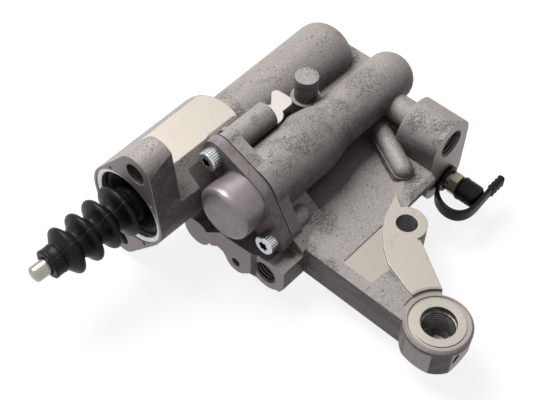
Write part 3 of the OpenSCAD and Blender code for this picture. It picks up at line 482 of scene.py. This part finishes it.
def cap_metal():
    """A smoother casting, with a turned sheen on its dome, painted shade in its hollows and a painted
    highlight on its edges.
    """
    t = Surface("cap_metal")
    colour = (0.23, 0.205, 0.205)
    dome_r, dome_base = 14.1, -36.1
    dome = t.hole(valve, dome_r, lo=dome_base)
    flange = t.times(t.over(t.nx, 0.98), t.invert(dome))
    grain = t.noise(1500, 3, 0.6)
    smear = t.noise(160, 4, 0.6, 0.5)
    bevelled = t.bevel(0.9 * mm)
    smeared = t.mix(t.ramp(smear, 0.38, 0.68), tone(colour, 1.18), tone(colour, 0.78))
    base = t.paint(smeared,
                   (t.ramp(grain, 0.45, 0.7, 0.0, 0.4), tone(colour, 0.6)),
                   # painted shade in the hollows
                   (t.times(t.ramp(t.hollows(6 * mm), 0.4, 0.85), 0.55), (0.08, 0.07, 0.07)),
                   (t.times(flange, t.ramp(smear, 0.35, 0.65, 0.75, 0.35)), (0.13, 0.115, 0.11)),
                   (t.times(dome, 0.5), (0.33, 0.29, 0.31)),
                   # painted highlight along the edges
                   (t.times(t.edges(bevelled), 0.55), (0.55, 0.52, 0.51)))
    height = t.plus(t.times(t.noise(420), 0.8), t.times(grain, 0.4))
    rough = t.blend(dome, t.ramp(grain, 0.3, 0.7, 0.5, 0.4), t.ramp(smear, 0.3, 0.7, 0.3, 0.42))
    return t.finish(Base_Color=base, Metallic=t.blend(dome, 0.12, 0.55), Roughness=rough,
                    Specular_IOR_Level=0.3, Normal=t.bump(height, 0.14 * mm, bevelled))


def turned_metal(name, colour, rough, metallic=1.0, axis="x", stain=0.35, soft=0.3):
    """Bright turned metal with fine rings across its axis, a few stains, and soft edges with a painted
    highlight.
    """
    t = Surface(name)
    scale = [1 if letter == axis else 0.03 for letter in "xyz"]
    rings = t.noise(5200, 2, 0.6, vector=t.stretch(scale))
    bevelled = t.bevel(soft * mm)
    stains = t.ramp(t.noise(260, 4, 0.6, 0.4), 0.52, 0.72)
    base = t.paint(t.mix(t.times(stains, stain), colour, tone(colour, 0.45)),
                   (t.ramp(rings, 0.35, 0.7, 0.0, 0.25), tone(colour, 0.7)),
                   # painted highlight along the edges
                   (t.times(t.edges(bevelled), 0.5), tone(colour, 1.3)))
    return t.finish(Base_Color=base, Metallic=metallic, Normal=t.bump(rings, 0.03 * mm, bevelled),
                    Roughness=t.plus(t.times(t.noise(700), 0.16), rough - 0.06))


def zinc_screws():
    """Bright zinc with a serrated rim and a six-lobed socket, both darker with painted shade, and a painted
    highlight on the edges, for both cap screws.
    """
    t = Surface("zinc")
    serrations = 26
    rim_r, rim_back, rim_front = 4.7, -35.9, -31.2
    socket_r, socket_mouth = 2.75, -30.25
    lower = t.over(t.y, valve[1][0] * mm)
    middle_y, middle_z = [t.blend(lower, a * mm, b * mm) for a, b in zip(upper_screw, lower_screw)]
    offsets = t.minus(t.y, middle_y), t.minus(t.z, middle_z)
    reach = t.length(*offsets)
    rim = t.times(t.over(reach, rim_r * mm), t.under(t.x, rim_front * mm), t.over(t.x, rim_back * mm))
    serration = t.wave(t.times(t.turns(*offsets), serrations))
    socket = t.times(t.under(reach, socket_r * mm), t.under(t.x, socket_mouth * mm))
    bevelled = t.bevel(0.3 * mm)
    base = t.paint((0.54, 0.57, 0.58),
                   (t.ramp(t.noise(420, 4, 0.6), 0.45, 0.7, 0.0, 0.4), (0.5, 0.54, 0.56)),
                   # painted shade in the grooves of the serrations
                   (t.times(rim, t.ramp(serration, 0.1, 0.6, 0.75, 0.0)), (0.14, 0.16, 0.17)),
                   # painted shade in the socket
                   (socket, (0.16, 0.215, 0.21)),
                   # painted highlight along the edges
                   (t.times(t.edges(bevelled), t.invert(socket), 0.6), (0.95, 0.96, 0.97)))
    return t.finish(Base_Color=base, Metallic=0.95, Roughness=t.plus(t.times(t.noise(900, 2), 0.14), 0.16),
                    Normal=t.bump(t.times(rim, serration), 0.12 * mm, bevelled))


def rubber(name, dust=0.22, seam=None):
    """Half matt moulded rubber, dusty in places, with a seam along it if its share of a turn is given."""
    t = Surface(name)
    grey = t.ramp(t.noise(110, 5, 0.62, 0.3), 0.46, 0.78)
    base = t.paint((0.006, 0.006, 0.008),
                   (t.times(grey, dust), (0.06, 0.058, 0.06)),
                   (t.ramp(t.noise(2600, 2), 0.62, 0.72, 0.0, dust), (0.09, 0.09, 0.09)))
    height = t.times(t.noise(900, 3, 0.6), 0.4)
    if seam:
        off_seam = t.calc("ABSOLUTE", t.minus(t.turns(*t.offsets(main_bore)), seam))
        line = t.ramp(off_seam, 0.0015, 0.006, 1.0, 0.0)
        height = t.plus(height, t.times(line, 1.6))
        base = t.paint(base, (t.times(line, 0.25), (0.1, 0.1, 0.1)))
    return t.finish(Base_Color=base, Roughness=t.ramp(grey, 0.0, 1.0, 0.38, 0.6),
                    # specular turned down in the hollows, a painted shade
                    Specular_IOR_Level=t.ramp(t.hollows(12 * mm), 0.25, 0.7, 0.15, 0.0),
                    Normal=t.bump(height, 0.12 * mm))


def fibre(name, colour):
    t = Surface(name)
    base = t.mix(t.ramp(t.noise(1400, 4, 0.7), 0.35, 0.65), colour, tone(colour, 1.9))
    return t.finish(Base_Color=base, Roughness=0.75, Normal=t.bump(t.noise(1800), 0.08 * mm))


rod_steel = turned_metal("bright_steel", (0.38, 0.36, 0.315), 0.24, 0.92, soft=0.6)
spring_steel = turned_metal("spring_steel", (0.26, 0.26, 0.27), 0.36)
inner_brass = turned_metal("inner_brass", (0.62, 0.46, 0.2), 0.3)
black = rubber("black_rubber")
seal_rubber = rubber("seal_rubber", dust=0.1)
finishes = {
    "body_casting": body_metal(),
    "valve_cap": cap_metal(),
    "cap_screws": zinc_screws(),
    "cap_gasket": fibre("gasket_sheet", (0.035, 0.03, 0.026)),
    "guide_band": fibre("band_plastic", (0.3, 0.22, 0.1)),
    "boot_ring": turned_metal("ring_metal", (0.7, 0.67, 0.69), 0.36, 0.85, stain=0.15),
    "piston": turned_metal("piston_metal", (0.55, 0.55, 0.56), 0.35),
    "bleeder_screw": turned_metal("brass", (0.46, 0.42, 0.30), 0.34, 0.85, axis="y"),
    "pushrod": rod_steel, "ball_plugs": rod_steel,
    "valve_plunger": inner_brass, "valve_seat": inner_brass, "valve_poppet": inner_brass,
    "boot": black, "bleeder_cap": black, "cap_strap": black,
    "piston_seal": seal_rubber, "plunger_seals": seal_rubber,
    "valve_seat_seal": seal_rubber, "poppet_disc": seal_rubber,
}
for name, piece in nodes.items():
    piece.data.materials.clear()
    piece.data.materials.append(finishes.get(name, spring_steel))


# Shapes of the soft pieces, in millimetres

def add_mesh(name, verts, faces, material):
    mesh = bpy.data.meshes.new(name)
    mesh.from_pydata([Vector(v) * mm for v in verts], [], faces)
    work = bmesh.new()
    work.from_mesh(mesh)
    bmesh.ops.recalc_face_normals(work, faces=work.faces)
    work.to_mesh(mesh)
    work.free()
    for polygon in mesh.polygons:
        polygon.use_smooth = True
    mesh.materials.append(material)
    piece = bpy.data.objects.new(name, mesh)
    scene.collection.objects.link(piece)
    return piece


def revolve(profile, place, sides):
    """Turns a closed profile of (radius, distance along the axis) points round that axis.
    place takes (along, across, upwards) to the frame."""
    verts, faces, count = [], [], len(profile)
    for k in range(sides):
        angle = 2 * math.pi * k / sides
        verts += [place(along, r * math.cos(angle), r * math.sin(angle)) for r, along in profile]
    for k in range(sides):
        here, there = k * count, (k + 1) % sides * count
        for i in range(count):
            after = (i + 1) % count
            faces.append((here + i, here + after, there + after, there + i))
    return verts, faces


def arc(centre, r, start, stop, steps):
    angles = [math.radians(start + (stop - start) * i / steps) for i in range(steps + 1)]
    return [(centre[0] + r * math.cos(a), centre[1] + r * math.sin(a)) for a in angles]


def smooth_step(share):
    share = min(max(share, 0), 1)
    return share * share * (3 - 2 * share)


def spline(points, steps):
    """A Catmull-Rom curve through points."""
    last = len(points) - 1
    curve = []
    for i in range(last):
        a, b, c, d = [Vector(points[min(max(i + k, 0), last)]) for k in (-1, 0, 1, 2)]
        for step in range(steps):
            u = step / steps
            curve.append(0.5 * (2 * b + (c - a) * u + (2 * a - 5 * b + 4 * c - d) * u * u
                                + (3 * b - a - 3 * c + d) * u ** 3))
    return curve + [Vector(points[-1])]


# Boot: a lip in the recess, a funnel, four folds and a collar on the rod, leaning with the rod about its ball

ball_x = -35.65
lean = math.radians(1.1)
lean_run = 9
fold_count = 4
fold_pitch = 9.9
first_fold = 4.6
fold_r = 13.0
fold_shrink = 0.42
fold_round = 1.7


def fold_at(i):
    """Where a fold lies along the axis, and its radius."""
    return first_fold + fold_pitch * i, fold_r - fold_shrink * i


def boot_outside():
    lip = [(18.8, -5.9), (18.85, -4.2), (18.6, -3.85), (15.4, -3.85), (14.6, -4.6)]
    funnel = [(11.4, -8.9), (10.6, -9.2), (9.9, -8.4), (9.3, -2.5), (8.6, 0.1)]
    collar = [(6.75, 38.2), (6.7, 38.9), (7.15, 39.3), (7.25, 39.9), (7.0, 40.4), (7.05, 43.6), (7.2, 43.9),
              (7.1, 44.6), (6.5, 45.0), (4.3, 45.0), (3.96, 44.6)]
    points = lip + funnel
    for i in range(fold_count):
        x, r = fold_at(i)
        points += [(7.1, x - 4.75), (7.15, x - 4.3)] if i else [(7.5, 0.75)]
        points += [(8.4, x - 3.2), (10.4, x - 2.05)]
        points += arc((r - fold_round, x - 0.2), fold_round, -68, 68, 10)
        points += [(9.6, x + 2.2), (8.0, x + 3.4)]
    return points + collar


def boot_inside():
    collar = [(3.96, 39.2), (5.2, 38.3)]
    funnel = [(7.9, -1.5), (8.4, -9.5), (10.4, -10.6), (13.6, -7.4), (15.2, -5.9)]
    points = collar
    for i in reversed(range(fold_count)):
        x, r = fold_at(i)
        points += [(6.1, x + 3.7), (8.2, x + 2.1), (r - 1.7, x + 0.5), (r - 1.5, x - 0.2), (r - 1.7, x - 0.9),
                   (8.6, x - 2.4), (6.1, x - 3.9)]
    return points + funnel


def boot_place(along, across, upwards):
    tilt = lean * smooth_step((along + lean_run) / lean_run)
    reach = along - ball_x
    return (ball_x + reach * math.cos(tilt) + across * math.sin(tilt),
            across * math.cos(tilt) - reach * math.sin(tilt), upwards)


boot_rubber = rubber("boot_rubber", dust=0.3, seam=0.19)
boot = add_mesh("boot_skin", *revolve(boot_outside() + boot_inside(), boot_place, sides=96), boot_rubber)
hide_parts("boot")
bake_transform(boot)


# Bleeder cap, from its rim over the nipple to its closed end

def bleeder_place(along, across, upwards):
    return bleeder[0] + across, bleeder[1] + along, bleeder[2] + upwards


cap_profile = [(3.0, 9.1), (5.2, 9.1), (5.75, 9.5), (5.95, 10.4), (5.95, 11.2), (5.7, 11.6), (5.7, 17.6),
               (5.5, 18.6), (4.6, 19.7), (4.2, 19.95), (0.4, 20.0), (0.4, 18.2), (2.95, 18.1)]
cap_mesh = add_mesh("cap_rubber", *revolve(cap_profile, bleeder_place, sides=64), black)
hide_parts("bleeder_cap")
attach(cap_mesh, "rubber_cap")


# Strap: a ring round the bleeder's neck, a band that loops from it over the cap, and a ribbed tail

strap_path = [(5.6, 1.2), (9.0, 2.2), (13.2, 5.2), (15.9, 9.6), (16.6, 14.6), (14.9, 18.7), (11.0, 21.2),
              (6.0, 21.9), (0.0, 21.6), (-5.5, 21.3), (-11.0, 21.2), (-17.6, 21.2)]
neck_ring = [(3.95, 0.3), (6.6, 0.3), (6.8, 0.6), (6.8, 2.0), (6.6, 2.3), (3.95, 2.3)]
tail_len = 10.5
rib_pitch = 2.6
rib_height = 0.95
band_sides = 12
corner = 0.35


def band_size(along_tail, is_tip):
    """Half the band's thickness and half its width, at a distance from where the tail starts."""
    if is_tip:
        return 0.5, 2.2
    if along_tail < 0:
        return 1.0, 3.5
    return 1.0 + rib_height * abs(math.sin(math.pi * along_tail / rib_pitch)) ** 0.7, 3.1


def band_point(p, across, thick, wide, k):
    """A point of the band's rounded section round a point of its path."""
    angle = 2 * math.pi * (k + 0.5) / band_sides
    out, up = [math.copysign(abs(v) ** corner, v) for v in (math.cos(angle), math.sin(angle))]
    q = p + across * (out * thick)
    return bleeder_place(q.y, q.x, up * wide)


def strap_shape():
    path = spline(strap_path, steps=10)
    last = len(path) - 1
    lengths = [0.0]
    for a, b in zip(path, path[1:]):
        lengths.append(lengths[-1] + (b - a).length)
    verts, faces = [], []
    for i, p in enumerate(path):
        forward = (path[min(i + 1, last)] - path[max(i - 1, 0)]).normalized()
        across = Vector((-forward.y, forward.x))
        thick, wide = band_size(lengths[i] - (lengths[-1] - tail_len), i == last)
        verts += [band_point(p, across, thick, wide, k) for k in range(band_sides)]
    for i in range(last):
        here, there = i * band_sides, (i + 1) * band_sides
        for k in range(band_sides):
            beside = (k + 1) % band_sides
            faces.append((here + k, here + beside, there + beside, there + k))
    faces += [tuple(range(band_sides)), tuple(last * band_sides + k for k in reversed(range(band_sides)))]
    ring_verts, ring_faces = revolve(neck_ring, bleeder_place, sides=48)
    faces += [tuple(len(verts) + v for v in face) for face in ring_faces]
    return verts + ring_verts, faces


strap = add_mesh("strap", *strap_shape(), black)
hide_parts("cap_strap")
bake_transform(strap)


# Springs, which sit between their fixed end and the piece that they push, each copied into a coil mesh of its
# own in place of its part

springs = [("return_spring", "piston_set", -0.1349), ("plunger_spring", "plunger_set", -0.0779),
           ("poppet_spring", "poppet_set", -0.1079)]
for name, body, fixed in springs:
    coils = bpy.data.objects.new(name + "_coils", nodes[name].data.copy())
    scene.collection.objects.link(coils)
    along = [v.co.x for v in coils.data.vertices]
    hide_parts(name)
    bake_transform(coils)


# Floor, world and lamps

floor_size = 8
floor_gap = 0.0002
floor_glow = 0.86
ambient = ((1, 0.87, 0.97), 0.1)
white = ((1, 1, 1), 1)
lamp_size = 0.6


def floor_paper():
    """Paper that keeps the object's shadow, and glows to white where it is seen plainly."""
    t = Surface("paper")
    t.finish(Base_Color=(0.17, 0.165, 0.17), Roughness=0.9)
    paper = t.shader.outputs[0]
    glow = t.new("Emission")
    t.put(glow.inputs["Color"], (1, 1, 1))
    t.put(glow.inputs["Strength"], floor_glow)
    glowing = t.new("AddShader")
    t.put(glowing.inputs[0], paper)
    t.put(glowing.inputs[1], glow.outputs[0])
    shown = t.mix_shaders(t.seen_plainly(), paper, glowing.outputs[0])
    t.put(t.tree.nodes["Material Output"].inputs["Surface"], shown)
    return t.material


def studio_world():
    """Dim light from all round, and white where the world is seen plainly."""
    world = bpy.data.worlds.new("world")
    world.use_nodes = True
    t = Tree(world.node_tree)
    t.tree.nodes.clear()
    lights = []
    for colour, strength in (ambient, white):
        light = t.new("Background")
        t.put(light.inputs["Color"], colour)
        t.put(light.inputs["Strength"], strength)
        lights.append(light.outputs[0])
    t.put(t.new("OutputWorld").inputs["Surface"], t.mix_shaders(t.seen_plainly(), *lights))
    return world


def lamp(name, place, target, power, colour):
    data = bpy.data.lights.new(name, "AREA")
    data.shape = "RECTANGLE"
    data.size = lamp_size
    data.size_y = lamp_size
    data.energy = power
    data.color = colour
    piece = bpy.data.objects.new(name, data)
    scene.collection.objects.link(piece)
    piece.location = place
    piece.rotation_mode = "QUATERNION"
    piece.rotation_quaternion = (Vector(target) - Vector(place)).to_track_quat("-Z", "Y")


floor_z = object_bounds()[0].z - floor_gap
bpy.ops.mesh.primitive_plane_add(size=floor_size, location=(0, 0, floor_z))
floor = bpy.context.object
floor.name = "floor"
floor.data.materials.append(floor_paper())

scene.world = studio_world()
lamp("key", (0.0, -0.5, 0.92), (-0.06, 0.05, 0), 15.5, (1, 0.98, 0.955))
lamp("fill", (0.75, -0.5, 0.4), (-0.05, 0.03, 0), 0.8, (1, 0.93, 0.98))

scene.view_settings.view_transform = "Standard"
